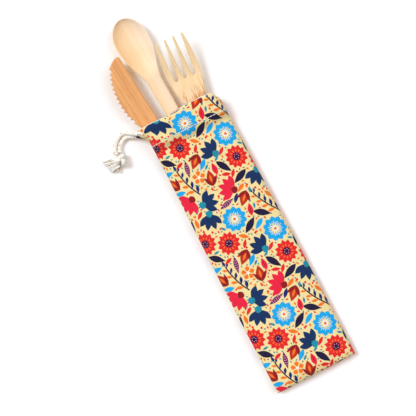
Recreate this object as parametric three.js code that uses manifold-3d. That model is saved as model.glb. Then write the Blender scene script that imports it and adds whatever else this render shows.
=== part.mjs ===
// Three bamboo utensils in a printed cotton drawstring pouch, lying on its back panel, in millimetres.
// +Y runs along the pouch to its mouth, +X to the right of someone looking down on it, +Z up.
// The origin is on the resting surface, under the middle of the pouch.

import * as THREE from "three";
import { mergeVertices } from "three/addons/utils/BufferGeometryUtils.js";
import Module from "manifold-3d";

const wasm = await Module();
wasm.setup();

// Pouch
const pouchLength = 268;
const pouchWidth = 78.6;
const mouthWidth = 74.6;
const clothThickness = 0.6;
const emptyHeight = 11.2;
const bottomEdgeHeight = 2.4;
const bottomRound = 12;
const casingDepth = 19.8;
const casingRampLength = 9;
const casingSlack = 0.7;
const cornerReach = 6;
const cornerDrop = 9;
const seatGap = 0.3;

// Drawstring
const cordDiameter = 4;
const cordClearance = 0.3;
const cordSides = 8;
const cordSteps = 78;
const knotLength = 13.6;
const knotWidth = 12.4;
const knotHeight = 9.6;
const frayedEndDiameter = 7.6;

// Utensils
const utensilLength = 200;
const handleThickness = 4.2;
const handleWidth = 11.6;
const handleEndRound = 5;

const knifeBladeWidth = 23;
const knifeBladeLength = 80.8;
const knifeShorterBy = 2.2;
const knifeSpineThickness = 3.4;
const knifeEdgeThickness = 1.2;
const toothPitch = 4.8;
const toothDepth = 1.4;

const spoonBowlWidth = 31.6;
const spoonNeckWidth = 13.6;
const spoonBowlLength = 64;
const spoonTipLength = 22;
const bowlDepth = 7;
const bowlFloor = 2.2;
const bowlRim = 2.4;

const forkHeadWidth = 32;
const forkNeckLength = 94;
const tineLength = 38.5;
const tinePitch = 8.25;
const slotWidth = 3.4;
const tineTipWidth = 1.8;
const tineThickness = 2.6;
const forkDip = 2;
const forkTipRise = 3;

// Where each utensil's centreline crosses the mouth edge, how far its head leans to the left,
// and how much of its length shows past the mouth
const knifePlace = { mouthX: -27, lean: 4.6, showing: 69.4 };
const spoonPlace = { mouthX: -6.4, lean: 2.4, showing: 95.5 };
const forkPlace = { mouthX: 16.4, lean: -4.0, showing: 61 };

// Worked out from the sizes above
const mouthY = pouchLength / 2;
const bottomY = -pouchLength / 2;
const stitchY = mouthY - casingDepth;
const channelDiameter = cordDiameter + 2 * cordClearance;
const casingThickness = channelDiameter + 2 * clothThickness;
const casingStart = stitchY + 1.4;
const restZ = clothThickness + seatGap;
const casingSeatZ = casingThickness + seatGap;
const filledHeight = casingSeatZ + handleThickness + seatGap + casingSlack + clothThickness;
const handleEndY = (place) => mouthY + place.showing - utensilLength;
const handleSlope = (casingSeatZ - restZ) / (casingStart - handleEndY(knifePlace));
const mouthInnerZ = casingSeatZ + handleThickness + handleSlope * casingDepth + seatGap + casingSlack;
const mouthHeight = mouthInnerZ + casingThickness;

const radians = THREE.MathUtils.degToRad;
const smooth = THREE.MathUtils.smoothstep;
const mix = THREE.MathUtils.lerp;

const bump = (value, centre, reach) => Math.exp(-(((value - centre) / reach) ** 2));

// Solids are joined and cut as manifold solids and drawn as geometries
function solidOf(geometry) {
  const bare = geometry.clone();
  bare.deleteAttribute("normal");
  bare.deleteAttribute("uv");
  const merged = mergeVertices(bare, 1e-4);
  return new wasm.Manifold(
    new wasm.Mesh({
      numProp: 3,
      vertProperties: merged.attributes.position.array,
      triVerts: new Uint32Array(merged.index.array),
    }),
  );
}

function geometryOf(solid) {
  const mesh = solid.getMesh();
  const geometry = new THREE.BufferGeometry();
  geometry.setAttribute("position", new THREE.BufferAttribute(mesh.vertProperties, 3));
  geometry.setIndex(new THREE.BufferAttribute(mesh.triVerts, 1));
  geometry.computeVertexNormals();
  return geometry;
}

// A closed skin through rings of points: pointAt(station, turn) gives a point of the ring at that station,
// and turn goes from the right edge (0) over the top to the left edge (0.5) and back underneath.
function loft(pointAt, stations, around) {
  const positions = stations.flatMap((station) =>
    Array.from({ length: around }, (_, j) => pointAt(station, j / around)).flat(),
  );
  const faces = [];
  const last = (stations.length - 1) * around;
  for (let i = 0; i < stations.length - 1; i++) {
    for (let j = 0; j < around; j++) {
      const a = i * around + j;
      const b = i * around + ((j + 1) % around);
      faces.push(a, a + around, b, b, a + around, b + around);
    }
  }
  for (let j = 0; j < around / 2; j++) {
    const mirror = (around - j) % around;
    const nextMirror = around - j - 1;
    faces.push(j, j + 1, mirror, j + 1, nextMirror, mirror);
    faces.push(last + j, last + mirror, last + j + 1, last + j + 1, last + mirror, last + nextMirror);
  }
  const geometry = new THREE.BufferGeometry();
  geometry.setAttribute("position", new THREE.Float32BufferAttribute(positions, 3));
  geometry.setIndex(faces.filter((_, i) => !isFlat(faces, i - (i % 3))));
  return geometry;
}

function isFlat(faces, start) {
  return (
    faces[start] === faces[start + 1] ||
    faces[start + 1] === faces[start + 2] ||
    faces[start] === faces[start + 2]
  );
}

function spread(from, to, count) {
  return Array.from({ length: count + 1 }, (_, i) => mix(from, to, i / count));
}

// Pouch: the section at y is wide and low, flat underneath, with its side seams part way up.
// The fullness of a section is the power that shapes its crown: the higher, the boxier.
const seamShare = 0.48;
const flatShare = 0.76;
const casingFlatShare = 0.93;
const emptyFullness = 4.5;
const filledFullness = 7.5;
const casingFullness = 10;
const casingHollowFullness = 24;
const fillingLength = 50;
const stitchPinch = 0.5;

function crownHeight(y) {
  const filledY = handleEndY(spoonPlace) + 5;
  const body = mix(emptyHeight, filledHeight, smooth(y, filledY - fillingLength, filledY));
  const atCasing = mouthHeight - handleSlope * (mouthY - y);
  const pinch = stitchPinch * bump(y, stitchY, 1.6);
  return mix(body, atCasing, smooth(y, stitchY - casingRampLength, casingStart)) - pinch;
}

function halfWidth(y) {
  return mix(pouchWidth, mouthWidth, smooth(y, -60, stitchY)) / 2;
}

// The left corner of the casing is drawn out by the strands that leave it
function cornerPull(y) {
  return cornerReach * bump(y, mouthY - 4.6, 5.2);
}

// Creases that run out from the drawn corner over the casing and the cloth beside it
function cornerCreases(x, y) {
  const dx = x + halfWidth(y) + cornerReach;
  const dy = y - (mouthY - 5);
  const away = Math.hypot(dx, dy);
  const angle = Math.atan2(dy, dx);
  return 0.45 * (1 + Math.cos(angle * 8 + 0.6)) * smooth(away, 7, 14) * (1 - smooth(away, 20, 42));
}

// Cloth lifts a little over each handle and sags between them
function handleRidges(x, y) {
  const along = smooth(y, -30, 30) * (1 - smooth(y, stitchY - 12, stitchY));
  const places = [knifePlace, spoonPlace, forkPlace];
  const lift = places.map((place) => {
    const centre = place.mouthX + (mouthY - y) * Math.tan(radians(place.lean));
    return bump(x, centre, handleWidth);
  });
  return along * 0.9 * (Math.max(...lift) - 1);
}

// Broad shallow waves of the empty cloth
function slackWaves(x, y) {
  const empty = 1 - smooth(y, -20, 40);
  return 0.45 * empty * Math.sin(0.055 * y + 0.05 * x) * Math.cos(0.09 * x - 0.02 * y);
}

function mouthEdge(x) {
  const dropped = cornerDrop * smooth(x, mouthWidth / 2 - 7, mouthWidth / 2 + 1) ** 1.5;
  const wave = 0.7 * Math.sin(x * 0.13 + 0.4);
  return mouthY - dropped + wave;
}

// turn to the place across the section, from -1 at the left seam to 1 at the right seam
const across = (turn) => Math.cos(2 * Math.PI * turn);

function underside(u, flat) {
  const curl = Math.max(0, (Math.abs(u) - flat) / (1 - flat));
  return 1 - Math.sqrt(1 - curl ** 2);
}

// The section fills out from the empty end to the utensils, and is fullest at the casing
function crown(u, y, mouthFullness) {
  const filled = mix(emptyFullness, filledFullness, smooth(y, -10, 60));
  const fullness = mix(filled, mouthFullness, smooth(y, stitchY - casingRampLength, casingStart));
  return Math.sqrt(1 - Math.abs(u) ** fullness);
}

function closing(y) {
  const left = Math.max(0, 1 - (y - bottomY) / bottomRound);
  return Math.sqrt(1 - left ** 2);
}

function outerPoint(y, turn) {
  const u = across(turn);
  const top = crownHeight(y);
  const seam = seamShare * top;
  const pull = u < 0 ? cornerPull(y) * Math.abs(u) ** 5 : 0;
  const x = halfWidth(y) * u - pull;
  const mouthShift = (mouthEdge(x) - mouthY) * smooth(y, stitchY, mouthY);
  const relief = (cornerCreases(x, y) + handleRidges(x, y) + slackWaves(x, y)) * (1 - u ** 4);
  const above = seam + (top - seam) * crown(u, y, casingFullness) + relief;
  const below = seam * underside(u, flatShare);
  const full = turn < 0.5 ? above : below;
  const edge = seam + (bottomEdgeHeight / 2) * (turn < 0.5 ? 1 : -1) * (1 - Math.abs(u) ** 8);
  return [x, y + mouthShift, mix(edge, full, closing(y))];
}

// The hollow follows the outside, one cloth in from it, and as far as the thick casing at the mouth.
// Its sides slant there, because the casing's left corner is drawn out and its right edge holds the cord's turn.
const sideSeamAllowance = 1.6;
const leftMouthHalf = mouthWidth / 2 + 3.5;
const rightMouthHalf = mouthWidth / 2 - 7.1;
const leftCasingHalf = mouthWidth / 2 - 2.7;
const rightCasingHalf = mouthWidth / 2 - 9.9;

function cavityPoint(y, turn) {
  const u = across(turn);
  const inCasing = smooth(y, stitchY - casingRampLength, casingStart);
  const wall = mix(clothThickness, casingThickness, inCasing);
  const top = crownHeight(Math.min(y, mouthY));
  const seam = seamShare * top;
  const bodyHalf = halfWidth(y) - sideSeamAllowance;
  const widening = smooth(y, stitchY + 4, mouthY + 1);
  const leftHalf = mix(leftCasingHalf, leftMouthHalf, widening);
  const rightHalf = mix(rightCasingHalf, rightMouthHalf, widening);
  const half = mix(bodyHalf, u < 0 ? leftHalf : rightHalf, inCasing);
  const x = half * u;
  const relief = (cornerCreases(x, y) + handleRidges(x, y) + slackWaves(x, y)) * (1 - u ** 4);
  const reliefShare = 1 - inCasing;
  const above = seam + (top - wall - seam) * crown(u, y, casingHollowFullness) + relief * reliefShare;
  const below = mix(seam, wall, 1 - underside(u, mix(flatShare, casingFlatShare, inCasing)));
  return [x, y, turn < 0.5 ? above : below];
}

// Route of the drawstring: from the knot along the free strand, round inside the casing, and back to the knot.
// Each point's y is measured from the mouth edge.
const drawstringRoute = [
  [-69.4, -9.9, 3.4],
  [-68.6, -5.4, 2.3],
  [-66.0, -1.4, 2.1],
  [-62.0, 2.0, 2.1],
  [-57.4, 4.0, 2.6],
  [-52.6, 3.4, 4.4],
  [-49.2, 0.9, 7.0],
  [-46.0, -1.4, 9.2],
  [-42.0, -3.6, 11.6],
  [-37.0, -4.8, 14.0],
  [-31.0, -5.0, 14.9],
  [-18.0, -5.0, 14.9],
  [0.0, -5.0, 14.9],
  [16.0, -5.0, 14.9],
  [26.4, -5.0, 14.8],
  [30.3, -5.7, 14.0],
  [33.2, -7.5, 11.8],
  [34.2, -10.0, 8.9],
  [33.2, -12.5, 5.9],
  [30.3, -14.3, 3.7],
  [26.0, -15.0, 2.9],
  [14.0, -15.0, 2.9],
  [-4.0, -15.0, 2.9],
  [-20.0, -14.6, 2.9],
  [-29.0, -12.4, 2.9],
  [-36.0, -8.6, 3.0],
  [-41.0, -6.0, 3.7],
  [-46.0, -3.8, 4.6],
  [-50.6, -1.4, 3.6],
  [-55.0, -0.2, 2.3],
  [-59.4, -2.1, 2.1],
  [-62.6, -4.6, 2.1],
  [-64.6, -7.2, 2.5],
  [-65.2, -9.9, 3.4],
].map(([x, y, z]) => new THREE.Vector3(x, mouthY + y, z));

function tubeAlong(points, diameter, steps) {
  const section = new THREE.Shape();
  section.absarc(0, 0, diameter / 2, 0, 2 * Math.PI);
  return new THREE.ExtrudeGeometry(section, {
    extrudePath: new THREE.CatmullRomCurve3(points),
    steps,
    curveSegments: cordSides,
  });
}

// The stretch of the route that the casing holds, from where one strand goes in to where the other comes out
function heldRoute() {
  const isHeld = (point) => point.x > -46.1;
  const first = drawstringRoute.findIndex(isHeld);
  const last = drawstringRoute.findLastIndex(isHeld);
  return drawstringRoute.slice(first, last + 1);
}

// Cloth drawn round the two strands where they leave the casing, and between them
function cornerSleeve(held) {
  const first = held.slice(0, 4);
  const second = held.slice(-4).reverse();
  const between = first.map((point, i) => point.clone().lerp(second[i], 0.5));
  const sleeves = [first, second, between].map((points) =>
    solidOf(tubeAlong(points, channelDiameter + 2 * clothThickness, 8)),
  );
  return sleeves[0].add(sleeves[1]).add(sleeves[2]);
}

function pouchGeometry() {
  const stations = [
    ...spread(bottomY, bottomY + bottomRound, 5),
    ...spread(bottomY + bottomRound, stitchY - 8, 22).slice(1),
    ...spread(stitchY - 8, mouthY, 12).slice(1),
  ];
  const outer = solidOf(loft(outerPoint, stations, 44));
  const cavityStations = [
    ...spread(bottomY + bottomRound, stitchY - casingRampLength, 18),
    ...spread(stitchY - casingRampLength, mouthY + 6, 9).slice(1),
  ];
  const cavity = solidOf(loft(cavityPoint, cavityStations, 32));
  const channel = solidOf(tubeAlong(drawstringRoute, channelDiameter, cordSteps));
  return geometryOf(
    outer
      .add(cornerSleeve(heldRoute()))
      .subtract(cavity)
      .subtract(channel),
  );
}

// Knot: a doubled cord drawn tight, with its two frayed tails
const knotCentre = new THREE.Vector3(-67.6, mouthY - 16.6, knotHeight / 2);

// Direction of each tail in degrees, and how far it reaches from the middle of the knot
const tails = [
  [162, 16],
  [198, 14.5],
];

function knotGeometry() {
  const ball = new THREE.SphereGeometry(0.5, 20, 12);
  ball.scale(knotLength, knotWidth, knotHeight);
  ball.translate(...knotCentre);
  let knot = solidOf(ball);
  const turnRadius = (knotHeight - cordDiameter) / 2;
  for (const side of [-1, 1]) {
    const turn = new THREE.TorusGeometry(turnRadius, cordDiameter / 2, 8, 18);
    turn.rotateY(Math.PI / 2 + side * 0.5);
    turn.translate(knotCentre.x + side * knotLength * 0.24, knotCentre.y, knotCentre.z);
    knot = knot.add(solidOf(turn));
  }
  for (const [direction, reach] of tails) {
    knot = knot.add(solidOf(tailGeometry(radians(direction), reach)));
  }
  return geometryOf(knot);
}

function tailGeometry(direction, end) {
  const start = knotLength * 0.3;
  const ringAt = (along, turn) => {
    const share = (along - start) / (end - start);
    const frayed = smooth(share, 0.45, 1);
    const radius = mix(cordDiameter, frayedEndDiameter, frayed) / 2;
    const flattening = mix(1, 0.55, frayed);
    const side = radius * Math.cos(2 * Math.PI * turn);
    const restingZ = radius * flattening + seatGap / 2;
    const centreZ = mix(knotCentre.z, restingZ, smooth(share, 0, 0.4));
    return [
      knotCentre.x + along * Math.cos(direction) + side * Math.sin(direction),
      knotCentre.y + along * Math.sin(direction) - side * Math.cos(direction),
      centreZ + radius * flattening * Math.sin(2 * Math.PI * turn),
    ];
  };
  return loft(ringAt, spread(start, end, 8), 10);
}

// Utensils are drawn along +Y from the handle's end, with the handle's underside at z = 0
function handleOutline(shape, neckStart) {
  const half = handleWidth / 2;
  shape.moveTo(half, neckStart);
  shape.lineTo(half, handleEndRound);
  shape.absarc(half - handleEndRound, handleEndRound, handleEndRound, 0, -Math.PI / 2, true);
  shape.absarc(handleEndRound - half, handleEndRound, handleEndRound, -Math.PI / 2, -Math.PI, true);
  shape.lineTo(-half, neckStart);
}

const fromTip = (distance) => utensilLength - distance;

// A cutter of the given outline, tall enough to take in a bent plate
function platePrism(shape) {
  const depth = 5 * handleThickness;
  const solid = new THREE.ExtrudeGeometry(shape, { depth, bevelEnabled: false, curveSegments: 6 });
  solid.translate(0, 0, (handleThickness - depth) / 2);
  return solidOf(solid);
}

// Knife: a straight spine, and a bellied edge with scalloped teeth that meets the handle at a heel
function knifeGeometry() {
  const half = handleWidth / 2;
  const edgeX = half - knifeBladeWidth;
  const shape = new THREE.Shape();
  const knifeLength = utensilLength - knifeShorterBy;
  const fromPoint = (distance) => knifeLength - distance;
  const heelStart = fromPoint(knifeBladeLength);
  const toothedEdge = new THREE.SplineCurve([
    new THREE.Vector2(edgeX + 3.2, fromPoint(58.8)),
    new THREE.Vector2(edgeX + 0.7, fromPoint(50.3)),
    new THREE.Vector2(edgeX, fromPoint(40.3)),
    new THREE.Vector2(edgeX + 0.7, fromPoint(29.8)),
    new THREE.Vector2(edgeX + 2.4, fromPoint(21.3)),
    new THREE.Vector2(edgeX + 5.4, fromPoint(12.8)),
    new THREE.Vector2(edgeX + 9.6, fromPoint(5.8)),
  ]);
  handleOutline(shape, heelStart);
  shape.bezierCurveTo(-half, heelStart + 9, edgeX + 7, fromPoint(66.8), edgeX + 3.2, fromPoint(58.8));
  const teeth = Math.round(toothedEdge.getLength() / toothPitch);
  for (let i = 0; i < teeth; i++) {
    const to = toothedEdge.getPointAt((i + 1) / teeth);
    const middle = toothedEdge.getPointAt((i + 0.5) / teeth);
    const along = toothedEdge.getTangentAt((i + 0.5) / teeth);
    shape.quadraticCurveTo(middle.x + along.y * toothDepth * 2, middle.y - along.x * toothDepth * 2, to.x, to.y);
  }
  shape.bezierCurveTo(edgeX + 12.2, fromPoint(3.6), edgeX + 16.5, fromPoint(0.6), half - 2.8, knifeLength);
  shape.quadraticCurveTo(half, knifeLength, half, fromPoint(2.4));
  shape.closePath();
  const taperEnd = heelStart + 23;
  const corner = (s, turn) => {
    const blade = smooth(s, heelStart - 5, taperEnd);
    const right = turn < 0.25 || turn > 0.5;
    const edgeThickness = mix(handleThickness, knifeEdgeThickness, blade);
    const spineThickness = mix(handleThickness, knifeSpineThickness, blade);
    const thickness = right ? spineThickness : edgeThickness;
    return [right ? half + 1 : edgeX - 1, s, (handleThickness + (turn < 0.5 ? thickness : -thickness)) / 2];
  };
  const stations = [-1, ...spread(heelStart - 5, taperEnd, 4), utensilLength + 1];
  return geometryOf(platePrism(shape).intersect(solidOf(loft(corner, stations, 4))));
}

// Spoon: a rounded handle that runs into an egg-shaped bowl, hollow side up
function spoonHalfWidth(s) {
  const bowlStart = fromTip(spoonBowlLength);
  const widest = fromTip(spoonTipLength);
  if (s > widest) {
    return (spoonBowlWidth / 2) * Math.sqrt(Math.max(0, 1 - ((s - widest) / spoonTipLength) ** 2));
  }
  if (s > bowlStart) {
    const share = (s - bowlStart) / (widest - bowlStart);
    return mix(spoonNeckWidth, spoonBowlWidth, Math.sin((Math.PI / 2) * share) ** 1.5) / 2;
  }
  const endRound = Math.sqrt(1 - Math.max(0, 1 - s / handleEndRound) ** 2);
  return (mix(handleWidth, spoonNeckWidth, smooth(s, 60, bowlStart)) / 2) * endRound;
}

function spoonGeometry() {
  const bowlStart = fromTip(spoonBowlLength);
  const widest = fromTip(spoonTipLength);
  const point = (s, turn) => {
    const u = across(turn);
    const hollow = smooth(s, bowlStart + 4, widest - 14);
    const toTip = Math.sqrt(Math.max(0, 1 - Math.max(0, (s - widest) / spoonTipLength) ** 2));
    const edge = mix(handleThickness, bowlRim, hollow);
    const round = Math.sqrt(1 - Math.abs(u) ** 4);
    const cup = (1 - u ** 2) * hollow * toTip;
    const middle = mix(handleThickness / 2, handleThickness - bowlRim / 2, hollow);
    const above = middle + (edge / 2) * round - bowlDepth * cup;
    const below = middle - (edge / 2) * round - (bowlDepth + bowlFloor - bowlRim) * cup;
    return [spoonHalfWidth(s) * u, s, turn < 0.5 ? above : below];
  };
  const endGap = 0.15;
  const stations = [
    ...[endGap, 0.8, 2.2, handleEndRound],
    ...spread(20, bowlStart, 8),
    ...spread(bowlStart, widest, 11).slice(1),
    ...spread(0, Math.PI / 2, 8)
      .slice(1, -1)
      .map((angle) => widest + spoonTipLength * Math.sin(angle)),
    fromTip(endGap),
  ];
  return loft(point, stations, 28);
}

// Fork: one bent plate, cut to an outline with four tapered tines
function forkGeometry() {
  const half = handleWidth / 2;
  const headHalf = forkHeadWidth / 2;
  const slotBottom = fromTip(tineLength);
  const neckStart = fromTip(forkNeckLength);
  const shape = new THREE.Shape();
  handleOutline(shape, neckStart);
  shape.bezierCurveTo(-half, neckStart + 16, -half - 3.2, fromTip(69), -headHalf * 0.66, fromTip(60));
  shape.bezierCurveTo(-headHalf * 0.8, fromTip(53), -headHalf * 0.94, fromTip(44), -headHalf, fromTip(31));
  const tineCount = 4;
  const outerTip = 1.5 * tinePitch;
  const tipHalf = tineTipWidth / 2;
  for (let i = 0; i < tineCount; i++) {
    const tipX = i * tinePitch - outerTip;
    if (i === 0) {
      shape.quadraticCurveTo(-headHalf + 0.2, fromTip(14), tipX - tipHalf, fromTip(tipHalf));
    } else {
      shape.lineTo(tipX - tipHalf, fromTip(tipHalf));
    }
    shape.absarc(tipX, fromTip(tipHalf), tipHalf, Math.PI, 0, true);
    if (i < tineCount - 1) {
      const slotX = tipX + tinePitch / 2;
      shape.lineTo(slotX - slotWidth / 2, slotBottom + slotWidth / 2);
      shape.absarc(slotX, slotBottom + slotWidth / 2, slotWidth / 2, -Math.PI, 0, false);
    }
  }
  shape.quadraticCurveTo(headHalf - 0.2, fromTip(14), headHalf, fromTip(31));
  shape.bezierCurveTo(headHalf * 0.94, fromTip(44), headHalf * 0.8, fromTip(53), headHalf * 0.66, fromTip(60));
  shape.bezierCurveTo(half + 3.2, fromTip(69), half, neckStart + 16, half, neckStart);
  const bendStart = fromTip(64);
  const corner = (s, turn) => {
    const thickness = mix(handleThickness, tineThickness, smooth(s, bendStart, fromTip(25)));
    const dip = forkDip * smooth(s, bendStart + 2, fromTip(35));
    const rise = (forkDip + forkTipRise) * smooth(s, fromTip(40), fromTip(-6));
    const right = turn < 0.25 || turn > 0.5;
    const middle = handleThickness / 2 - dip + rise;
    return [right ? headHalf + 2 : -headHalf - 2, s, middle + (turn < 0.5 ? thickness : -thickness) / 2];
  };
  const stations = [-1, ...spread(bendStart, utensilLength + 1, 14)];
  return geometryOf(platePrism(shape).intersect(solidOf(loft(corner, stations, 4))));
}

// A utensil lies on the back casing, and its handle's end comes down to the cloth where it is free to
function placeUtensil(mesh, place, slope) {
  const endY = handleEndY(place);
  const endX = place.mouthX + (mouthY - endY) * Math.tan(radians(place.lean));
  mesh.position.set(endX, endY, slope ? restZ : casingSeatZ);
  mesh.rotation.order = "ZXY";
  mesh.rotation.x = Math.atan(slope);
  mesh.rotation.z = radians(place.lean);
  return mesh;
}

const cotton = new THREE.MeshStandardMaterial({ color: 0xf7dfa8, roughness: 0.9, metalness: 0 });
const cordCotton = new THREE.MeshStandardMaterial({ color: 0xf3ead9, roughness: 0.95, metalness: 0 });
const paleBamboo = new THREE.MeshStandardMaterial({ color: 0xeacb98, roughness: 0.6, metalness: 0 });
const darkBamboo = new THREE.MeshStandardMaterial({ color: 0xdb9d5c, roughness: 0.6, metalness: 0 });

function piece(name, geometry, material) {
  const mesh = new THREE.Mesh(geometry, material);
  mesh.name = name;
  return mesh;
}

const pack = new THREE.Group();
pack.add(piece("pouch", pouchGeometry(), cotton));
pack.add(piece("drawstring", tubeAlong(drawstringRoute, cordDiameter, cordSteps), cordCotton));
pack.add(piece("drawstring_knot", knotGeometry(), cordCotton));
pack.add(placeUtensil(piece("knife", knifeGeometry(), darkBamboo), knifePlace, handleSlope));
pack.add(placeUtensil(piece("spoon", spoonGeometry(), paleBamboo), spoonPlace, 0));
pack.add(placeUtensil(piece("fork", forkGeometry(), paleBamboo), forkPlace, handleSlope));

export default pack;
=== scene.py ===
import math
import random

import bmesh
import bpy
import numpy as np
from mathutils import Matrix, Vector
from mathutils.geometry import delaunay_2d_cdt


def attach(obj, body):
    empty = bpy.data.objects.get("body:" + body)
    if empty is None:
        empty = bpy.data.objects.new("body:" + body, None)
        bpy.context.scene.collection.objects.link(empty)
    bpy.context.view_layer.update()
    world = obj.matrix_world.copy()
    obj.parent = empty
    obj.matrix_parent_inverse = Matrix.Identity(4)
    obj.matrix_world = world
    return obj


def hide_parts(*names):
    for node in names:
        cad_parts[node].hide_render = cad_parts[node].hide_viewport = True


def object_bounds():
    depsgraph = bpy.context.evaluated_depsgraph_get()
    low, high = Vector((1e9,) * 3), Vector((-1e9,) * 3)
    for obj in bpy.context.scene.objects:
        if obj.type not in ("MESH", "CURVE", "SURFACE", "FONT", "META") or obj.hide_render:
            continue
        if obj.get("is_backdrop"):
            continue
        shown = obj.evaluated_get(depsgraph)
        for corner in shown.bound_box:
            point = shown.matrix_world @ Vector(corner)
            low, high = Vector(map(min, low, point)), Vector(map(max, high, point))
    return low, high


# The pack lies on its back panel: +Y runs along the pouch to its mouth, +Z is up, lengths are in metres.
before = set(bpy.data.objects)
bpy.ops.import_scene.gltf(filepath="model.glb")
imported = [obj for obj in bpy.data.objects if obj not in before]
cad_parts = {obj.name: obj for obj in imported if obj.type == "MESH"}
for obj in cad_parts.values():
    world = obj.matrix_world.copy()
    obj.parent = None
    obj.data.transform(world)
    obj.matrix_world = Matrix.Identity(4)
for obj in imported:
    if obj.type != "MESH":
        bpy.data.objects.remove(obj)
cad_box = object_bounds()
MM = 0.001

# Sizes shared with the part's source
POUCH_LENGTH = 268 * MM
POUCH_WIDTH = 78.6 * MM
MOUTH_WIDTH = 74.6 * MM
MOUTH_Y = POUCH_LENGTH / 2
BOTTOM_Y = -POUCH_LENGTH / 2
CASING_DEPTH = 19.8 * MM
STITCH_Y = MOUTH_Y - CASING_DEPTH
CASING_WALL = 5.8 * MM
CASING_FOOT = 1.4 * MM
CORD_DIAMETER = 4 * MM
UTENSIL_LENGTH = 200 * MM
HANDLE_THICKNESS = 4.2 * MM
HANDLE_WIDTH = 11.6 * MM
HANDLE_END_ROUND = 5 * MM
CASING_SEAT_Z = 6.1 * MM
REST_Z = 0.9 * MM


def smooth(value, low, high):
    share = np.clip((value - low) / (high - low), 0, 1)
    return share * share * (3 - 2 * share)


def mix(first, second, share):
    return first + (second - first) * share


def bump(value, centre, reach):
    return np.exp(-(((value - centre) / reach) ** 2))


# Materials
NODE_REACH = 12 * MM
THREAD_PITCH = 0.52 * MM
# The floor's bluish colour and warm glow to the camera give its shadows a painted warm tint
FLOOR_COLOUR = (0.75, 0.90, 1.0, 1)
FLOOR_LIFT = (0.27, 0.10, 0.01, 1)


class Nodes:
    """A material's node tree, with short calls for adding and linking nodes."""

    def __init__(self, name):
        self.material = bpy.data.materials.new(name)
        self.material.use_nodes = True
        self.tree = self.material.node_tree
        self.shader = self.tree.nodes["Principled BSDF"]

    def add(self, kind, inputs=None, **settings):
        node = self.tree.nodes.new(kind)
        for key, value in settings.items():
            setattr(node, key, value)
        for key, value in (inputs or {}).items():
            self.feed(node.inputs[key], value)
        return node

    def feed(self, socket, value):
        if isinstance(value, bpy.types.NodeSocket):
            self.tree.links.new(value, socket)
        else:
            socket.default_value = value

    def math(self, operation, first, second=0.0, clamp=False):
        node = self.add("ShaderNodeMath", operation=operation, use_clamp=clamp)
        self.feed(node.inputs[0], first)
        self.feed(node.inputs[1], second)
        return node.outputs[0]

    def noise(self, vector, scales, detail=2.0, roughness=0.5):
        """Noise with a scale for each axis."""
        place = self.add("ShaderNodeMapping", {"Vector": vector, "Scale": scales}).outputs["Vector"]
        inputs = {"Vector": place, "Scale": 1.0, "Detail": detail, "Roughness": roughness}
        return self.add("ShaderNodeTexNoise", inputs).outputs["Fac"]

    def ramp(self, value, stops):
        node = self.add("ShaderNodeValToRGB", {"Fac": value})
        elements = node.color_ramp.elements
        while len(elements) < len(stops):
            elements.new(0.5)
        for element, (position, colour) in zip(elements, stops):
            element.position = position
            element.color = colour if len(colour) == 4 else (*colour, 1)
        return node.outputs["Color"]

    def blend(self, share, first, second, kind="MIX"):
        node = self.add("ShaderNodeMix", data_type="RGBA", blend_type=kind)
        self.feed(node.inputs["Factor"], share)
        self.feed(node.inputs["A"], first)
        self.feed(node.inputs["B"], second)
        return node.outputs["Result"]

    def attribute(self, name):
        return self.add("ShaderNodeAttribute", attribute_name=name).outputs["Vector"]

    def bump(self, height, distance, strength=1.0):
        inputs = {"Height": height, "Distance": distance, "Strength": strength}
        return self.add("ShaderNodeBump", inputs).outputs["Normal"]

    def plus(self, first, *others):
        for other in others:
            first = self.math("ADD", first, other)
        return first

    def times(self, first, second):
        return self.math("MULTIPLY", first, second)

    def mask(self, value, low, high):
        """White where the value is over high, and black where it is under low."""
        return self.ramp(value, [(low, (0, 0, 0)), (high, (1, 1, 1))])

    def surface(self, **inputs):
        """Feeds the shader's sockets, whose names are written with underscores for spaces."""
        for key, value in inputs.items():
            self.feed(self.shader.inputs[key.replace("_", " ")], value)


def linear(red, green, blue):
    """A colour as seen on a screen, 0 to 255, as the linear colour that a shader takes."""
    def channel(value):
        value /= 255
        return value / 12.92 if value <= 0.04045 else ((value + 0.055) / 1.055) ** 2.4
    return (channel(red), channel(green), channel(blue), 1.0)


def bamboo(name, pale, deep, streak, fleck_share, line_share, figure=1.0, painted_light_across=0.0,
           node_at=None):
    """Sanded bamboo: long fibre bundles, thin lines, short darker flecks, a band of them at a node, and
    painted light that pales the +X side and deepens the -X side.
    """
    n = Nodes(name)
    grain = n.attribute("grain")
    sides = n.add("ShaderNodeSeparateXYZ", {"Vector": grain}).outputs
    lines = n.noise(grain, (640, 3.5, 60), 2.0, 0.6)
    broad = n.noise(grain, (260, 9, 90), 3.0, 0.55)
    fine = n.noise(grain, (1500, 34, 500), 2.0, 0.6)
    vessels = n.noise(grain, (1100, 120, 600), 1.0, 0.4)
    cloudy = n.noise(grain, (26, 26, 26))
    tone = n.plus(n.times(broad, 0.55), n.times(fine, 0.45))
    # Painted light and shade across the piece: the tone rises towards +X, so one side shows paler and the
    # other deeper
    tone = n.plus(n.times(tone, figure), (1 - figure) / 2, n.times(sides["X"], painted_light_across))
    colour = n.ramp(tone, [(0.34, deep), (0.66, pale)])
    colour = n.blend(n.times(cloudy, 0.35), colour, pale)
    colour = n.blend(n.times(n.mask(lines, 0.50, 0.64), line_share), colour, streak)
    colour = n.blend(n.times(n.mask(vessels, 0.60, 0.74), fleck_share), colour, streak)
    if node_at is not None:
        away = n.math("ABSOLUTE", n.math("SUBTRACT", sides["Y"], node_at))
        band = n.math("SUBTRACT", 1.0, n.math("DIVIDE", away, NODE_REACH), clamp=True)
        fibres = n.noise(grain, (1000, 90, 400), 1.0)
        colour = n.blend(n.times(n.mask(fibres, 0.48, 0.62), band), colour, streak)
    height = n.plus(n.times(fine, 0.6), n.times(vessels, 0.4))
    n.surface(Base_Color=colour, Roughness=n.plus(n.times(fine, 0.16), 0.42), Specular_IOR_Level=0.35,
              Normal=n.bump(height, 0.25 * MM, 0.5))
    return n.material


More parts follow.
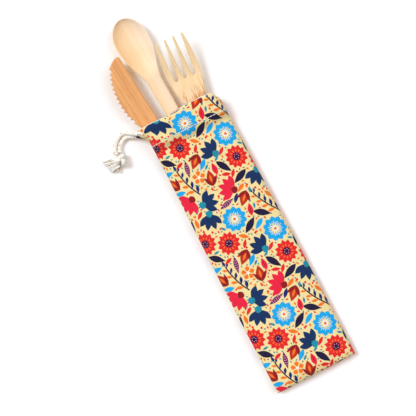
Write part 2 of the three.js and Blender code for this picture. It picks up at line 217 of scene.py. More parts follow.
def cotton(name, colour):
    """Plain-woven cotton in one ink: threads that cross, slubs, and a slightly uneven print."""
    n = Nodes(name)
    cloth = n.attribute("cloth")
    parts = n.add("ShaderNodeSeparateXYZ", {"Vector": cloth}).outputs
    warp, weft = (n.math("SINE", n.times(parts[axis], 2 * math.pi / THREAD_PITCH)) for axis in "XY")
    weave = n.times(warp, weft)
    slub = n.noise(cloth, (900, 160, 900), 2.0, 0.6)
    slub_across = n.noise(cloth, (160, 900, 900), 2.0, 0.6)
    uneven = n.noise(cloth, (120, 120, 120), 3.0, 0.6)
    shade = n.plus(n.times(weave, 0.035), n.times(slub, 0.10), n.times(slub_across, 0.10),
                   n.times(uneven, 0.10))
    paler = tuple(min(1.0, c * 1.05 + 0.012) for c in colour[:3])
    deeper = tuple(c * 0.86 for c in colour[:3])
    height = n.plus(n.times(weave, 0.5), n.times(slub, 0.7), n.times(slub_across, 0.7))
    n.surface(Base_Color=n.ramp(shade, [(0.06, deeper), (0.24, paler)]), Roughness=0.88,
              Specular_IOR_Level=0.2, Sheen_Weight=0.12, Sheen_Roughness=0.5,
              Normal=n.bump(height, 0.12 * MM, 0.6))
    return n.material


def cord_cotton(name):
    """Undyed twisted cotton with a few tan seed specks."""
    n = Nodes(name)
    place = n.attribute("place")
    specks = n.noise(place, (320, 320, 320), 2.0, 0.6)
    fibres = n.noise(place, (2600, 2600, 2600), 2.0, 0.7)
    base = n.ramp(fibres, [(0.3, linear(250, 244, 232)), (0.7, linear(254, 252, 246))])
    colour = n.blend(n.times(n.mask(specks, 0.55, 0.66), 0.75), base, linear(210, 158, 112))
    n.surface(Base_Color=colour, Roughness=0.92, Specular_IOR_Level=0.2, Sheen_Weight=0.15,
              Normal=n.bump(fibres, 0.2 * MM, 0.4))
    return n.material


def floor_white(name):
    """A white table that shows white to the camera, with warm shadows: its warm glow to the camera over a
    bluish colour is a painted warm tint in its shade, in place of light bounced off the bamboo.
    """
    n = Nodes(name)
    n.surface(Base_Color=FLOOR_COLOUR, Roughness=0.9, Specular_IOR_Level=0.1)
    path = n.add("ShaderNodeLightPath")
    seen = n.math("MAXIMUM", path.outputs["Is Camera Ray"], path.outputs["Is Glossy Ray"])
    seen = n.math("MAXIMUM", seen, path.outputs["Is Transmission Ray"])
    glow = n.add("ShaderNodeEmission", {"Color": FLOOR_LIFT, "Strength": seen})
    both = n.add("ShaderNodeAddShader")
    n.feed(both.inputs[0], n.shader.outputs["BSDF"])
    n.feed(both.inputs[1], glow.outputs["Emission"])
    n.feed(n.tree.nodes["Material Output"].inputs["Surface"], both.outputs["Shader"])
    return n.material


def add_object(name, data):
    thing = bpy.data.objects.new(name, data)
    bpy.context.scene.collection.objects.link(thing)
    return thing


# Camera: straight above, turned so that the pouch runs from lower right to upper left
PICTURE_WIDTH = 416
PIXEL = 0.9 * MM
LOOK_AT = Vector((-18.05 * MM, 43.17 * MM, 6 * MM))
VIEW_WIDTH = PICTURE_WIDTH * PIXEL
LENS = 100.0
SENSOR = 36.0
IMAGE_RIGHT = Vector((0.887, -0.461, 0))
IMAGE_UP = Vector((0.461, 0.887, 0))

camera_data = bpy.data.cameras.new("camera")
camera_data.lens = LENS
camera_data.sensor_width = SENSOR
camera = add_object("camera", camera_data)
camera.location = LOOK_AT + Vector((0, 0, VIEW_WIDTH * LENS / SENSOR))
camera.rotation_euler = (0, 0, math.atan2(IMAGE_RIGHT.y, IMAGE_RIGHT.x))
bpy.context.scene.camera = camera

# Light: a key from the picture's upper left, a softer fill from its upper right, a very broad one
# overhead, and a dim white surround
KEY_STRENGTH = 2.2
KEY_SOFTNESS = math.radians(26)
OVERHEAD_STRENGTH = 0.6
OVERHEAD_SOFTNESS = math.radians(80)
FILL_STRENGTH = 0.95
FILL_SOFTNESS = math.radians(40)
WORLD_STRENGTH = 0.10
bpy.context.scene.view_settings.view_transform = "Standard"


def sun(name, strength, softness, travel):
    data = bpy.data.lights.new(name, "SUN")
    data.energy = strength
    data.angle = softness
    lamp = add_object(name, data)
    lamp.rotation_mode = "QUATERNION"
    lamp.rotation_quaternion = travel.to_track_quat("-Z", "Y")


DOWN = Vector((0, 0, -1))
sun("key", KEY_STRENGTH, KEY_SOFTNESS, DOWN + IMAGE_RIGHT * 0.80 - IMAGE_UP * 0.34)
sun("overhead", OVERHEAD_STRENGTH, OVERHEAD_SOFTNESS, DOWN)
sun("fill", FILL_STRENGTH, FILL_SOFTNESS, DOWN - IMAGE_RIGHT * 0.75 - IMAGE_UP * 0.55)

world = bpy.data.worlds.new("surround")
world.use_nodes = True
surround = world.node_tree.nodes["Background"]
surround.inputs["Color"].default_value = (1, 1, 1, 1)
surround.inputs["Strength"].default_value = WORLD_STRENGTH
bpy.context.scene.world = world


# Meshes
def make_piece(name, points, faces, materials, replaced=(), inks=None, attributes=None):
    """A smooth mesh object on the one body, with its material slots and point attributes."""
    mesh = bpy.data.meshes.new(name)
    mesh.from_pydata([tuple(p) for p in points], [], [tuple(f) for f in faces])
    for material in materials:
        mesh.materials.append(material)
    if inks is not None:
        mesh.polygons.foreach_set("material_index", inks)
    mesh.polygons.foreach_set("use_smooth", [True] * len(mesh.polygons))
    for key, values in (attributes or {}).items():
        layer = mesh.attributes.new(key, "FLOAT_VECTOR", "POINT")
        layer.data.foreach_set("vector", np.asarray(values, dtype=float).ravel())
    mesh.update()
    piece = add_object(name, mesh)
    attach(piece, "root")
    if replaced:
        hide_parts(*replaced)
    return piece


def frames(points):
    """A side and an up at each point of a line, square to it, that turn as little as they can."""
    ahead = np.gradient(points, axis=0)
    ahead /= np.linalg.norm(ahead, axis=1)[:, None]
    side = np.cross(ahead[0], (0, 0, 1))
    sides = []
    for direction in ahead:
        side = side - direction * np.dot(side, direction)
        side /= np.linalg.norm(side)
        sides.append(side)
    return np.array(sides), np.cross(sides, ahead)


def skin(rings, around):
    """Faces over rings of points, with flat ends."""
    faces = []
    for i in range(rings - 1):
        for k in range(around):
            a, b = i * around + k, i * around + (k + 1) % around
            faces.append((a, a + around, b + around, b))
    last = (rings - 1) * around
    faces.append(tuple(range(around)))
    faces.append(tuple(last + k for k in reversed(range(around))))
    return faces


def tube(points, radii, around):
    """Points and faces of a closed tube."""
    points = np.asarray(points, dtype=float)
    sides, ups = frames(points)
    rings = []
    for point, radius, side, up in zip(points, radii, sides, ups):
        for angle in np.linspace(0, 2 * math.pi, around, endpoint=False):
            rings.append(point + radius * (math.cos(angle) * side + math.sin(angle) * up))
    return rings, skin(len(points), around)


def spline(points, count):
    """A smooth curve through points, sampled evenly along its length."""
    points = np.asarray(points, dtype=float)
    ends = np.vstack([2 * points[0] - points[1], points, 2 * points[-1] - points[-2]])
    samples = []
    for i in range(1, len(ends) - 2):
        a, b, c, d = ends[i - 1 : i + 3]
        for t in np.linspace(0, 1, 24, endpoint=False):
            samples.append(
                0.5 * (2 * b + (c - a) * t + (2 * a - 5 * b + 4 * c - d) * t**2
                       + (3 * b - a - 3 * c + d) * t**3)
            )
    samples.append(ends[-2])
    samples = np.array(samples)
    lengths = np.concatenate([[0], np.cumsum(np.linalg.norm(np.diff(samples, axis=0), axis=1))])
    even = np.linspace(0, lengths[-1], count)
    return np.stack([np.interp(even, lengths, samples[:, k]) for k in range(3)], axis=1), lengths[-1]


def merged(parts):
    """Several (points, faces) pairs as one."""
    points, faces = [], []
    for more, turns in parts:
        start = len(points)
        points.extend(more)
        faces.extend(tuple(start + i for i in face) for face in turns)
    return points, faces


# Drawstring: its route from the knot, round inside the casing, and back, in millimetres, with y measured
# from the mouth edge
DRAWSTRING_ROUTE = [
    (-69.4, -9.9, 3.4), (-68.6, -5.4, 2.3), (-66.0, -1.4, 2.1), (-62.0, 2.0, 2.1),
    (-57.4, 4.0, 2.6), (-52.6, 3.4, 4.4), (-49.2, 0.9, 7.0), (-46.0, -1.4, 9.2),
    (-42.0, -3.6, 11.6), (-37.0, -4.8, 14.0), (-31.0, -5.0, 14.9), (-18.0, -5.0, 14.9),
    (0.0, -5.0, 14.9), (16.0, -5.0, 14.9), (26.4, -5.0, 14.8), (30.3, -5.7, 14.0),
    (33.2, -7.5, 11.8), (34.2, -10.0, 8.9), (33.2, -12.5, 5.9), (30.3, -14.3, 3.7),
    (26.0, -15.0, 2.9), (14.0, -15.0, 2.9), (-4.0, -15.0, 2.9), (-20.0, -14.6, 2.9),
    (-29.0, -12.4, 2.9), (-36.0, -8.6, 3.0), (-41.0, -6.0, 3.7), (-46.0, -3.8, 4.6),
    (-50.6, -1.4, 3.6), (-55.0, -0.2, 2.3), (-59.4, -2.1, 2.1), (-62.6, -4.6, 2.1),
    (-64.6, -7.2, 2.5), (-65.2, -9.9, 3.4),
]
CORD_LAY = 9 * MM
PLIES = 3
cord_material = cord_cotton("cord_cotton")


def twisted(points, diameter, lay, phase=0.0, around=8):
    """Plies laid round a line of points."""
    points = np.asarray(points)
    sides, ups = frames(points)
    along = np.concatenate([[0], np.cumsum(np.linalg.norm(np.diff(points, axis=0), axis=1))])
    ply_radius = diameter * 0.262
    offset = diameter / 2 - ply_radius
    parts = []
    for ply in range(PLIES):
        angle = 2 * math.pi * (along / lay + ply / PLIES) + phase
        line = points + offset * (np.cos(angle)[:, None] * sides + np.sin(angle)[:, None] * ups)
        parts.append(tube(line, np.full(len(line), ply_radius), around))
    return merged(parts)


def make_drawstring():
    route = [(x * MM, MOUTH_Y + y * MM, z * MM) for x, y, z in DRAWSTRING_ROUTE]
    line, length = spline(route, 330)
    points, faces = twisted(line, CORD_DIAMETER * 1.06, CORD_LAY)
    cord = make_piece("drawstring_cord", points, faces, [cord_material], ["drawstring"],
                      attributes={"place": points})
    return cord, line, length


drawstring, drawstring_line, drawstring_length = make_drawstring()

# Knot: an overhand knot in the doubled cord, drawn tight, with two tails frayed into brushes
KNOT_CENTRE = Vector((-67.6 * MM, MOUTH_Y - 16.6 * MM, 4.8 * MM))
KNOT_LENGTH = 14.4 * MM
KNOT_WIDTH = 13.4 * MM
KNOT_HEIGHT = 9.4 * MM
CUT_EDGE = ((-16.6 * MM, 7.9 * MM), (-12.8 * MM, -7.0 * MM))
TAIL_SHARES = [(0.0, 0.47), (0.53, 1.0)]
STRAY_WISP = (-7.6 * MM, -8.8 * MM)


def knot_strand(shift):
    """One of the two strands through the knot: a tight trefoil squeezed to the knot's size."""
    samples = np.linspace(-0.10, 1.9 * math.pi, 90)
    x = np.sin(samples) + 1.65 * np.sin(2 * samples)
    y = np.cos(samples) - 1.65 * np.cos(2 * samples)
    z = -np.sin(3 * samples)
    scale = np.array([KNOT_LENGTH, KNOT_WIDTH, KNOT_HEIGHT]) / 2 - CORD_DIAMETER * 0.52
    scale[2] -= 0.35 * MM
    line = np.stack([x / 2.65, y / 2.65, z], axis=1) * scale
    line[:, 2] += shift
    line[:, :2] *= 1 - 0.16 * (shift > 0)
    return line + np.array(KNOT_CENTRE)


def yarn(dice, end, spread):
    """One loose yarn from inside the knot to its cut end, with a slight wave."""
    start = Vector((-3.2 * MM, spread * 3.4 * MM))
    end = Vector(end)
    side = (end - start).orthogonal().normalized()
    start_height = dice.uniform(1.4, 5.8) * MM
    end_height = dice.uniform(0.5, 3.8) * MM
    wave = dice.uniform(-0.7, 0.7) * MM
    turn = dice.uniform(0, math.pi)
    line = []
    for t in np.linspace(0, 1, 8):
        place = start.lerp(end, float(t)) + side * (wave * math.sin(t * 5 + turn))
        height = mix(start_height, end_height, float(smooth(t, 0.1, 0.8)))
        line.append((KNOT_CENTRE.x + place.x, KNOT_CENTRE.y + place.y, height))
    radius = dice.uniform(0.26, 0.42) * MM
    return tube(line, [radius] * 7 + [radius * 0.6], 5)


def make_knot():
    dice = random.Random(4)
    parts = [twisted(knot_strand(shift), CORD_DIAMETER * 1.02, CORD_LAY, phase) for shift, phase in
             ((-0.3 * MM, 0.0), (0.5 * MM, 1.3))]
    first, last = (Vector(corner) for corner in CUT_EDGE)
    for low, high in TAIL_SHARES:
        for _ in range(54):
            share = dice.uniform(low, high)
            end = first.lerp(last, share) * dice.uniform(0.90, 1.0)
            parts.append(yarn(dice, end, 1 - 2 * share))
    for _ in range(6):
        jitter = Vector((dice.uniform(-0.8, 0.8) * MM, dice.uniform(-0.8, 0.8) * MM))
        parts.append(yarn(dice, Vector(STRAY_WISP) + jitter, -1))
    points, faces = merged(parts)
    return make_piece("knot_and_tails", points, faces, [cord_material], ["drawstring_knot"],
                      attributes={"place": points})


knot = make_knot()
[tuple(p) for p in drawstring_line]


# Utensils: outlines along +Y from the handle's end, with the handle's underside at z = 0
class Outline:
    """A closed outline made of lines, arcs and curves."""

    def __init__(self, x, y):
        self.points = [(x, y)]

    def line_to(self, x, y):
        self.points.append((x, y))

    def arc(self, cx, cy, radius, start, end, count=10):
        for angle in np.linspace(start, end, count):
            self.points.append((cx + radius * math.cos(angle), cy + radius * math.sin(angle)))

    def curve(self, *controls, count=16):
        """A curve from the last point to the last control, drawn towards those between."""
        corners = np.array([*self.points[-1], *controls]).reshape(-1, 2)
        degree = len(corners) - 1
        for t in np.linspace(0, 1, count + 1)[1:]:
            weights = [math.comb(degree, i) * t**i * (1 - t) ** (degree - i) for i in range(degree + 1)]
            self.points.append(tuple(weights @ corners))

    def closed(self, step):
        """The outline's points, with long stretches divided and doubled points left out."""
        result = []
        count = len(self.points)
        for i in range(count):
            a, b = np.array(self.points[i]), np.array(self.points[(i + 1) % count])
            gap = np.linalg.norm(b - a)
            if gap < 1e-6:
                continue
            for t in np.linspace(0, 1, max(1, math.ceil(gap / step)), endpoint=False):
                result.append(a + (b - a) * t)
        return np.array(result)


def handle_outline(neck_start):
    half = HANDLE_WIDTH / 2
    outline = Outline(half, neck_start)
    outline.line_to(half, HANDLE_END_ROUND)
    outline.arc(half - HANDLE_END_ROUND, HANDLE_END_ROUND, HANDLE_END_ROUND, 0, -math.pi / 2)
    outline.arc(HANDLE_END_ROUND - half, HANDLE_END_ROUND, HANDLE_END_ROUND, -math.pi / 2, -math.pi)
    outline.line_to(-half, neck_start)
    return outline


def from_tip(distance):
    return UTENSIL_LENGTH - distance * MM


def distance_to(points, ring):
    """How far each point lies from a closed outline."""
    best = np.full(len(points), 1e9)
    for a, b in zip(ring, np.roll(ring, -1, axis=0)):
        along = b - a
        share = np.clip(((points - a) @ along) / max(along @ along, 1e-18), 0, 1)
        best = np.minimum(best, np.linalg.norm(points - (a + share[:, None] * along), axis=1))
    return best


def upward(triangle, flat):
    """The triangle with its corners counterclockwise in the flat."""
    a, b, c = (flat[i] for i in triangle)
    left_turn = (b[0] - a[0]) * (c[1] - a[1]) >= (b[1] - a[1]) * (c[0] - a[0])
    return tuple(triangle) if left_turn else tuple(triangle[::-1])


def is_inside(points, ring):
    """Whether each point lies inside a closed outline."""
    inside = np.zeros(len(points), dtype=bool)
    x, y = points[:, 0], points[:, 1]
    for (ax, ay), (bx, by) in zip(ring, np.roll(ring, -1, axis=0)):
        crosses = (ay > y) != (by > y)
        if abs(by - ay) > 1e-15:
            inside ^= crosses & (x < (bx - ax) * (y - ay) / (by - ay) + ax)
    return inside


def placed(points, mouth_x, lean, showing, slope):
    """Local points of a utensil where it lies in the pouch."""
    points = np.asarray(points)
    end_y = MOUTH_Y + showing - UTENSIL_LENGTH
    end_x = mouth_x + (MOUTH_Y - end_y) * math.tan(math.radians(lean))
    tilt = math.atan(slope)
    y = points[:, 1] * math.cos(tilt) - points[:, 2] * math.sin(tilt)
    z = points[:, 1] * math.sin(tilt) + points[:, 2] * math.cos(tilt)
    turn = math.radians(lean)
    x = points[:, 0]
    seat = REST_Z if slope else CASING_SEAT_Z
    return np.stack([
        end_x + x * math.cos(turn) - y * math.sin(turn),
        end_y + x * math.sin(turn) + y * math.cos(turn),
        seat + z,
    ], axis=1)


def plate(name, replaced, outline, middle, thickness, edge_round, material, place):
    """A flat wooden piece with rounded edges, cut to an outline and bent along its length."""
    ring = outline.closed(0.8 * MM)
    low, high = ring.min(axis=0), ring.max(axis=0)
    step = 1.7 * MM
    xs, ys = np.meshgrid(np.arange(low[0], high[0], step), np.arange(low[1], high[1], step))
    grid = np.stack([xs.ravel(), ys.ravel()], axis=1)
    grid[:, 0] += (np.round((grid[:, 1] - low[1]) / step) % 2) * step / 2
    grid = grid[is_inside(grid, ring)]
    grid = grid[distance_to(grid, ring) > edge_round * 1.25]
    ahead = np.roll(ring, -1, axis=0) - np.roll(ring, 1, axis=0)
    inward = np.stack([-ahead[:, 1], ahead[:, 0]], axis=1)
    inward /= np.linalg.norm(inward, axis=1)[:, None]
    if not is_inside(ring[:1] + inward[:1] * 1e-4, ring)[0]:
        inward = -inward
    rows = []
    for share in (0.12, 0.4, 1.0):
        row = ring + inward * edge_round * share
        row = row[is_inside(row, ring)]
        rows.append(row[distance_to(row, ring) > edge_round * share * 0.93])
    flat = np.vstack([ring, *rows, grid])
    count = len(ring)
    corners, _, triangles, origin, _, _ = delaunay_2d_cdt(
        [Vector(p) for p in flat], [], [list(range(count))], 1, 1e-7
    )
    flat = np.array([tuple(c) for c in corners])
    away = distance_to(flat, ring)
    away[away < 1e-6] = 0
    height = thickness(flat[:, 0], flat[:, 1])
    rounding = np.minimum(edge_round, height * 0.46)
    inset = np.clip(1 - away / rounding, 0, 1)
    half = height / 2 - rounding * (1 - np.sqrt(1 - inset**2))
    centre = middle(flat[:, 1])
    top = np.stack([flat[:, 0], flat[:, 1], centre + half], axis=1)
    under = np.stack([flat[:, 0], flat[:, 1], centre - half], axis=1)
    total = len(flat)
    faces = []
    edges = {}
    for triangle in triangles:
        triangle = upward(triangle, flat)
        faces.append(triangle)
        faces.append(tuple(total + i for i in reversed(triangle)))
        for i in range(3):
            edges[(triangle[i], triangle[(i + 1) % 3])] = True
    for a, b in edges:
        if (b, a) not in edges:
            faces.append((b, a, total + a, total + b))
    local = np.vstack([top, under])
    points = placed(local, *place)
    return make_piece(name, points, faces, [material], replaced, attributes={"grain": local})


KNIFE_SHOWING = 69.4 * MM
KNIFE_SHORTER_BY = 2.2 * MM
KNIFE_END_Y = MOUTH_Y + KNIFE_SHOWING - UTENSIL_LENGTH
HANDLE_SLOPE = (CASING_SEAT_Z - REST_Z) / (STITCH_Y + CASING_FOOT - KNIFE_END_Y)
KNIFE_PLACE = (-27 * MM, 4.6, KNIFE_SHOWING, HANDLE_SLOPE)
SPOON_PLACE = (-6.4 * MM, 2.4, 95.5 * MM, 0)
FORK_PLACE = (16.4 * MM, -4.0, 61 * MM, HANDLE_SLOPE)

FORK_NODE = 143 * MM
# The spoon's bamboo: its paler +X side and deeper -X side are painted light and shade across the bowl
pale_bamboo = bamboo(
    "pale_bamboo", linear(251, 230, 206), linear(253, 200, 130), linear(236, 188, 130), 0.10, 0.08,
    figure=0.4, painted_light_across=11.0
)
fork_bamboo = bamboo(
    "fork_bamboo", linear(251, 223, 180), linear(244, 204, 150), linear(208, 134, 70), 0.25, 0.12,
    node_at=FORK_NODE
)
dark_bamboo = bamboo(
    "dark_bamboo", linear(244, 182, 118), linear(228, 152, 88), linear(184, 104, 50), 0.30, 0.45
)


def make_knife():
    """A straight spine, and a bellied edge with scalloped teeth."""
    half = HANDLE_WIDTH / 2
    edge_x = half - 23 * MM

    def from_point(distance):
        return from_tip(distance) - KNIFE_SHORTER_BY

    heel = from_point(80.8)
    outline = handle_outline(heel)
    outline.curve(-half, heel + 9 * MM, edge_x + 7 * MM, from_point(66.8),
                  edge_x + 3.2 * MM, from_point(58.8), count=20)
    belly = [(3.2, 58.8), (0.7, 50.3), (0, 40.3), (0.7, 29.8), (2.4, 21.3), (5.4, 12.8), (9.6, 5.8)]
    last = 399
    edge, length = spline([(edge_x + x * MM, from_point(d), 0) for x, d in belly], last + 1)
    teeth = round(length / (4.8 * MM))
    depth = 2.1 * MM
    for i in range(teeth):
        middle_at = int((i + 0.5) / teeth * last)
        middle = edge[middle_at]
        to = edge[int((i + 1) / teeth * last)]
        along = edge[min(last, middle_at + 4)] - middle
        along /= np.linalg.norm(along)
        outward = np.array([along[1], -along[0]]) * depth * 2
        outline.curve(*(middle[:2] + outward), *to[:2], count=8)
    outline.curve(edge_x + 12.2 * MM, from_point(3.6), edge_x + 16.5 * MM, from_point(0.6),
                  half - 2.8 * MM, from_point(0))
    outline.curve(half, from_point(0), half, from_point(2.4), count=8)

    def thickness(x, s):
        blade = smooth(s, heel - 5 * MM, heel + 23 * MM)
        share = (x - edge_x) / (half - edge_x)
        return mix(HANDLE_THICKNESS, mix(1.3 * MM, 3.4 * MM, np.clip(share, 0, 1)), blade)

    def middle_height(s):
        return np.full_like(s, HANDLE_THICKNESS / 2)

    return plate("knife_body", ["knife"], outline, middle_height, thickness, 0.8 * MM, dark_bamboo,
                 KNIFE_PLACE)


def make_fork():
    """A bent plate with four tapered tines."""
    half = HANDLE_WIDTH / 2
    head = 16 * MM
    tine_length, pitch, slot_width, tip_half = 38.5, 8.25 * MM, 3.4 * MM, 0.9 * MM
    neck = from_tip(94)
    slot_bottom = from_tip(tine_length) + slot_width / 2
    tip_y = UTENSIL_LENGTH - tip_half
    outline = handle_outline(neck)
    outline.curve(-half, neck + 16 * MM, -half - 3.2 * MM, from_tip(69), -head * 0.66, from_tip(60), count=24)
    outline.curve(-head * 0.8, from_tip(53), -head * 0.94, from_tip(44), -head, from_tip(31), count=24)
    for i in range(4):
        tip = (i - 1.5) * pitch
        if i == 0:
            outline.curve(-head + 0.2 * MM, from_tip(14), tip - tip_half, tip_y, count=12)
        else:
            outline.line_to(tip - tip_half, tip_y)
        outline.arc(tip, tip_y, tip_half, math.pi, 0)
        if i < 3:
            slot = tip + pitch / 2
            outline.line_to(slot - slot_width / 2, slot_bottom)
            outline.arc(slot, slot_bottom, slot_width / 2, -math.pi, 0)
    outline.curve(head - 0.2 * MM, from_tip(14), head, from_tip(31), count=12)
    outline.curve(head * 0.94, from_tip(44), head * 0.8, from_tip(53), head * 0.66, from_tip(60), count=24)
    outline.curve(half + 3.2 * MM, from_tip(69), half, neck + 16 * MM, half, neck, count=24)
    bend = from_tip(64)

    def thickness(x, s):
        return mix(HANDLE_THICKNESS, 2.6 * MM, smooth(s, bend, from_tip(25)))

    def middle_height(s):
        dip = 2 * MM * smooth(s, bend + 2 * MM, from_tip(35))
        rise = 5 * MM * smooth(s, from_tip(40), from_tip(-6))
        return HANDLE_THICKNESS / 2 - dip + rise

    return plate("fork_body", ["fork"], outline, middle_height, thickness, 0.9 * MM, fork_bamboo,
                 FORK_PLACE)


def make_spoon():
    """A rounded handle that runs into an egg-shaped bowl, hollow side up."""
    bowl_width, neck_width, bowl_length, tip_length = 31.6 * MM, 13.6 * MM, 64 * MM, 22 * MM
    bowl_depth, bowl_floor, rim = 7 * MM, 2.2 * MM, 2.4 * MM
    bowl_start, widest = UTENSIL_LENGTH - bowl_length, UTENSIL_LENGTH - tip_length
    end_gap, end_round = 0.01 * MM, 1.3 * MM

    def half_width(s):
        if s > widest:
            return bowl_width / 2 * math.sqrt(max(0, 1 - ((s - widest) / tip_length) ** 2))
        if s > bowl_start:
            share = (s - bowl_start) / (widest - bowl_start)
            return mix(neck_width, bowl_width, math.sin(math.pi / 2 * share) ** 1.5) / 2
        end = math.sqrt(1 - max(0, 1 - s / HANDLE_END_ROUND) ** 2)
        return mix(HANDLE_WIDTH, neck_width, float(smooth(s, 60 * MM, bowl_start))) / 2 * end

    stations = [
        *(HANDLE_END_ROUND * (1 - math.cos(a)) + end_gap for a in np.linspace(0, math.pi / 2, 9)),
        *np.linspace(HANDLE_END_ROUND, bowl_start, 50)[1:],
        *np.linspace(bowl_start, widest, 46)[1:],
        *(widest + tip_length * math.sin(a) for a in np.linspace(0, math.pi / 2, 26)[1:-1]),
        UTENSIL_LENGTH - end_gap,
    ]
    around = 88
    local = []
    for s in stations:
        hollow = float(smooth(s, bowl_start + 4 * MM, widest - 14 * MM))
        to_tip = math.sqrt(max(0, 1 - max(0, (s - widest) / tip_length) ** 2))
        to_end = max(0, 1 - min(s, UTENSIL_LENGTH - s) / end_round)
        edge = mix(HANDLE_THICKNESS, rim, hollow) * math.sqrt(1 - to_end**2)
        middle = mix(HANDLE_THICKNESS / 2, HANDLE_THICKNESS - rim / 2, hollow)
        for k in range(around):
            angle = 2 * math.pi * k / around
            u = math.cos(angle)
            round_edge = math.sqrt(max(0, 1 - u**4))
            cup = (1 - u * u) * hollow * to_tip
            if k <= around // 2:
                z = middle + edge / 2 * round_edge - bowl_depth * cup
            else:
                z = middle - edge / 2 * round_edge - (bowl_depth + bowl_floor - rim) * cup
            local.append((half_width(s) * u, s, z))
    local = np.array(local)
    return make_piece("spoon_body", placed(local, *SPOON_PLACE), skin(len(stations), around),
                      [pale_bamboo], ["spoon"], attributes={"grain": local})


make_knife()
make_fork()
make_spoon()

# Print: small fields of ink in a half-drop repeat, in the cloth's flat coordinates, here in millimetres
REPEAT_WIDTH = 82.5
REPEAT_LENGTH = 96.0
INKS = {
    "ground": linear(254, 229, 165),
    # rim: the pale unprinted cloth, also laid along the fold as partly the cloth's pale back and partly a
    # painted highlight
    "rim": linear(255, 246, 226),
    "sky": linear(10, 172, 240),
    "red": linear(238, 34, 40),
    "crimson": linear(243, 28, 66),
    "navy": linear(22, 30, 112),
    "deep_blue": linear(4, 46, 96),
    "midnight": linear(28, 14, 58),
    "orange": linear(255, 122, 32),
    "brick": linear(196, 44, 18),
    "dark_red": linear(146, 14, 24),
    "teal": linear(16, 146, 172),
    "purple": linear(98, 26, 88),
    "pink": linear(246, 142, 184),
    "white": linear(255, 252, 248),
}
INK_NAMES = list(INKS)


def turned(points, angle, at=(0, 0)):
    """Points turned about the origin by an angle in degrees, and moved."""
    a = math.radians(angle)
    return [(at[0] + x * math.cos(a) - y * math.sin(a), at[1] + x * math.sin(a) + y * math.cos(a))
            for x, y in points]


def petal(length, width, belly=1.0, start=0.0, count=9):
    """A leaf shape that points along +Y; belly over 1 makes it widest towards its tip."""
    shares = np.linspace(0, 1, count)
    half = width / 2 * np.sin(math.pi * shares**belly)
    right = [(h, start + length * t) for h, t in zip(half, shares)]
    return right + [(-x, y) for x, y in reversed(right[1:-1])]


# Motifs: each yields its inks and shapes for a size, and the dice vary the plain leaves
def disc(radius, count=16, at=(0, 0)):
    return [(at[0] + radius * math.cos(a), at[1] + radius * math.sin(a))
            for a in np.linspace(0, 2 * math.pi, count, endpoint=False)]


def ray_daisy(size, dice):
    """A daisy of narrow separate petals round a button."""
    count = 11
    for i in range(count):
        yield "sky", turned(petal(size * 0.74, size * 0.47, 1.5, size * 0.25), 360 * i / count)
    for i in range(count):
        yield "white", turned(petal(size * 0.26, size * 0.05, 1.0, size * 0.36, 5), 360 * i / count)
    yield "white", disc(size * 0.22, 20)
    yield "orange", disc(size * 0.12, 16)


def star_dahlia(size, dice):
    """A star of pointed petals in two rows with a dark dotted eye."""
    count = 12
    for i in range(count):
        yield "red", turned(petal(size * 0.66, size * 0.46, 0.8, size * 0.34), 360 * i / count)
    yield "red", disc(size * 0.56, 24)
    for i in range(count):
        yield "orange", turned(petal(size * 0.22, size * 0.13, 1.0, size * 0.40, 5), 360 * (i + 0.5) / count)
    yield "midnight", disc(size * 0.33, 20)
    for i in range(6):
        yield "pink", disc(size * 0.045, 9, turned([(size * 0.19, 0)], 60 * i)[0])


def fan(ink, size, lobes, spread_angle, accent):
    """A fan of separate long petals held in a small cup."""
    for i in range(lobes):
        angle = spread_angle * (i / (lobes - 1) - 0.5)
        length = size * (1.42 - 0.16 * abs(angle) / spread_angle * 2)
        shape = turned(petal(length, size * 0.50, 1.35, 0.10 * size, 13), angle)
        yield ink, [(x, y - size * 0.80) for x, y in shape]
    cup = petal(size * 0.62, size * 0.62, 0.75, 0, 13)
    yield accent, [(x, y - size * 1.0) for x, y in cup]


def crimson_fan(size, dice):
    yield from fan("crimson", size, 5, 104, "dark_red")
    for i in range(4):
        angle = 104 * ((i + 0.5) / 4 - 0.5)
        dot = turned([(0, size * 1.55)], angle)[0]
        yield "orange", disc(size * 0.085, 12, (dot[0], dot[1] - size * 0.80))


def blue_fan(size, dice):
    yield from fan("deep_blue", size, 4, 84, "teal")
    for i in range(3):
        angle = 52 * (i / 2 - 0.5)
        dot = turned([(0, size * 1.62)], angle)[0]
        yield "red", disc(size * 0.10, 12, (dot[0], dot[1] - size * 0.80))


def bud(size, dice):
    """A closed bud between two sepals."""
    yield "brick", petal(size * 2.0, size * 1.05, 0.8, -size)
    yield "orange", petal(size * 1.0, size * 0.30, 1.0, -size * 0.55)
    for side in (-1, 1):
        shape = turned(petal(size * 1.5, size * 0.42, 0.9), side * 34)
        yield "dark_red", [(x, y - size) for x, y in shape]


def rosette(size, dice):
    """A small five-petalled flower with parted petals."""
    for i in range(5):
        yield "orange", turned(petal(size * 0.86, size * 0.66, 1.4, size * 0.12), 72 * i)
    yield "white", disc(size * 0.22, 10)


def feather(size, dice):
    """A purple plume with pink barbs."""
    yield "purple", petal(size * 2, size * 0.56, 1.1, -size, 13)
    for i in range(5):
        for side in (-1, 1):
            shape = turned(petal(size * 0.26, size * 0.09, 1.0, 0, 5), side * 50)
            yield "pink", [(x, y - size * 0.62 + i * size * 0.27) for x, y in shape]


def leaf(ink):
    def draw(size, dice):
        yield ink, petal(size * 2, size * 0.72, dice.uniform(0.75, 1.25), -size, 11)
    return draw


def twin_leaf(ink, rib):
    def draw(size, dice):
        yield ink, petal(size * 2, size * 0.86, 0.9, -size, 11)
        yield rib, petal(size * 1.3, size * 0.13, 1.0, -size * 0.62, 7)
    return draw


def dot(ink):
    def draw(size, dice):
        yield ink, petal(size * 2, size * 1.0, 1.0, -size, 9)
    return draw


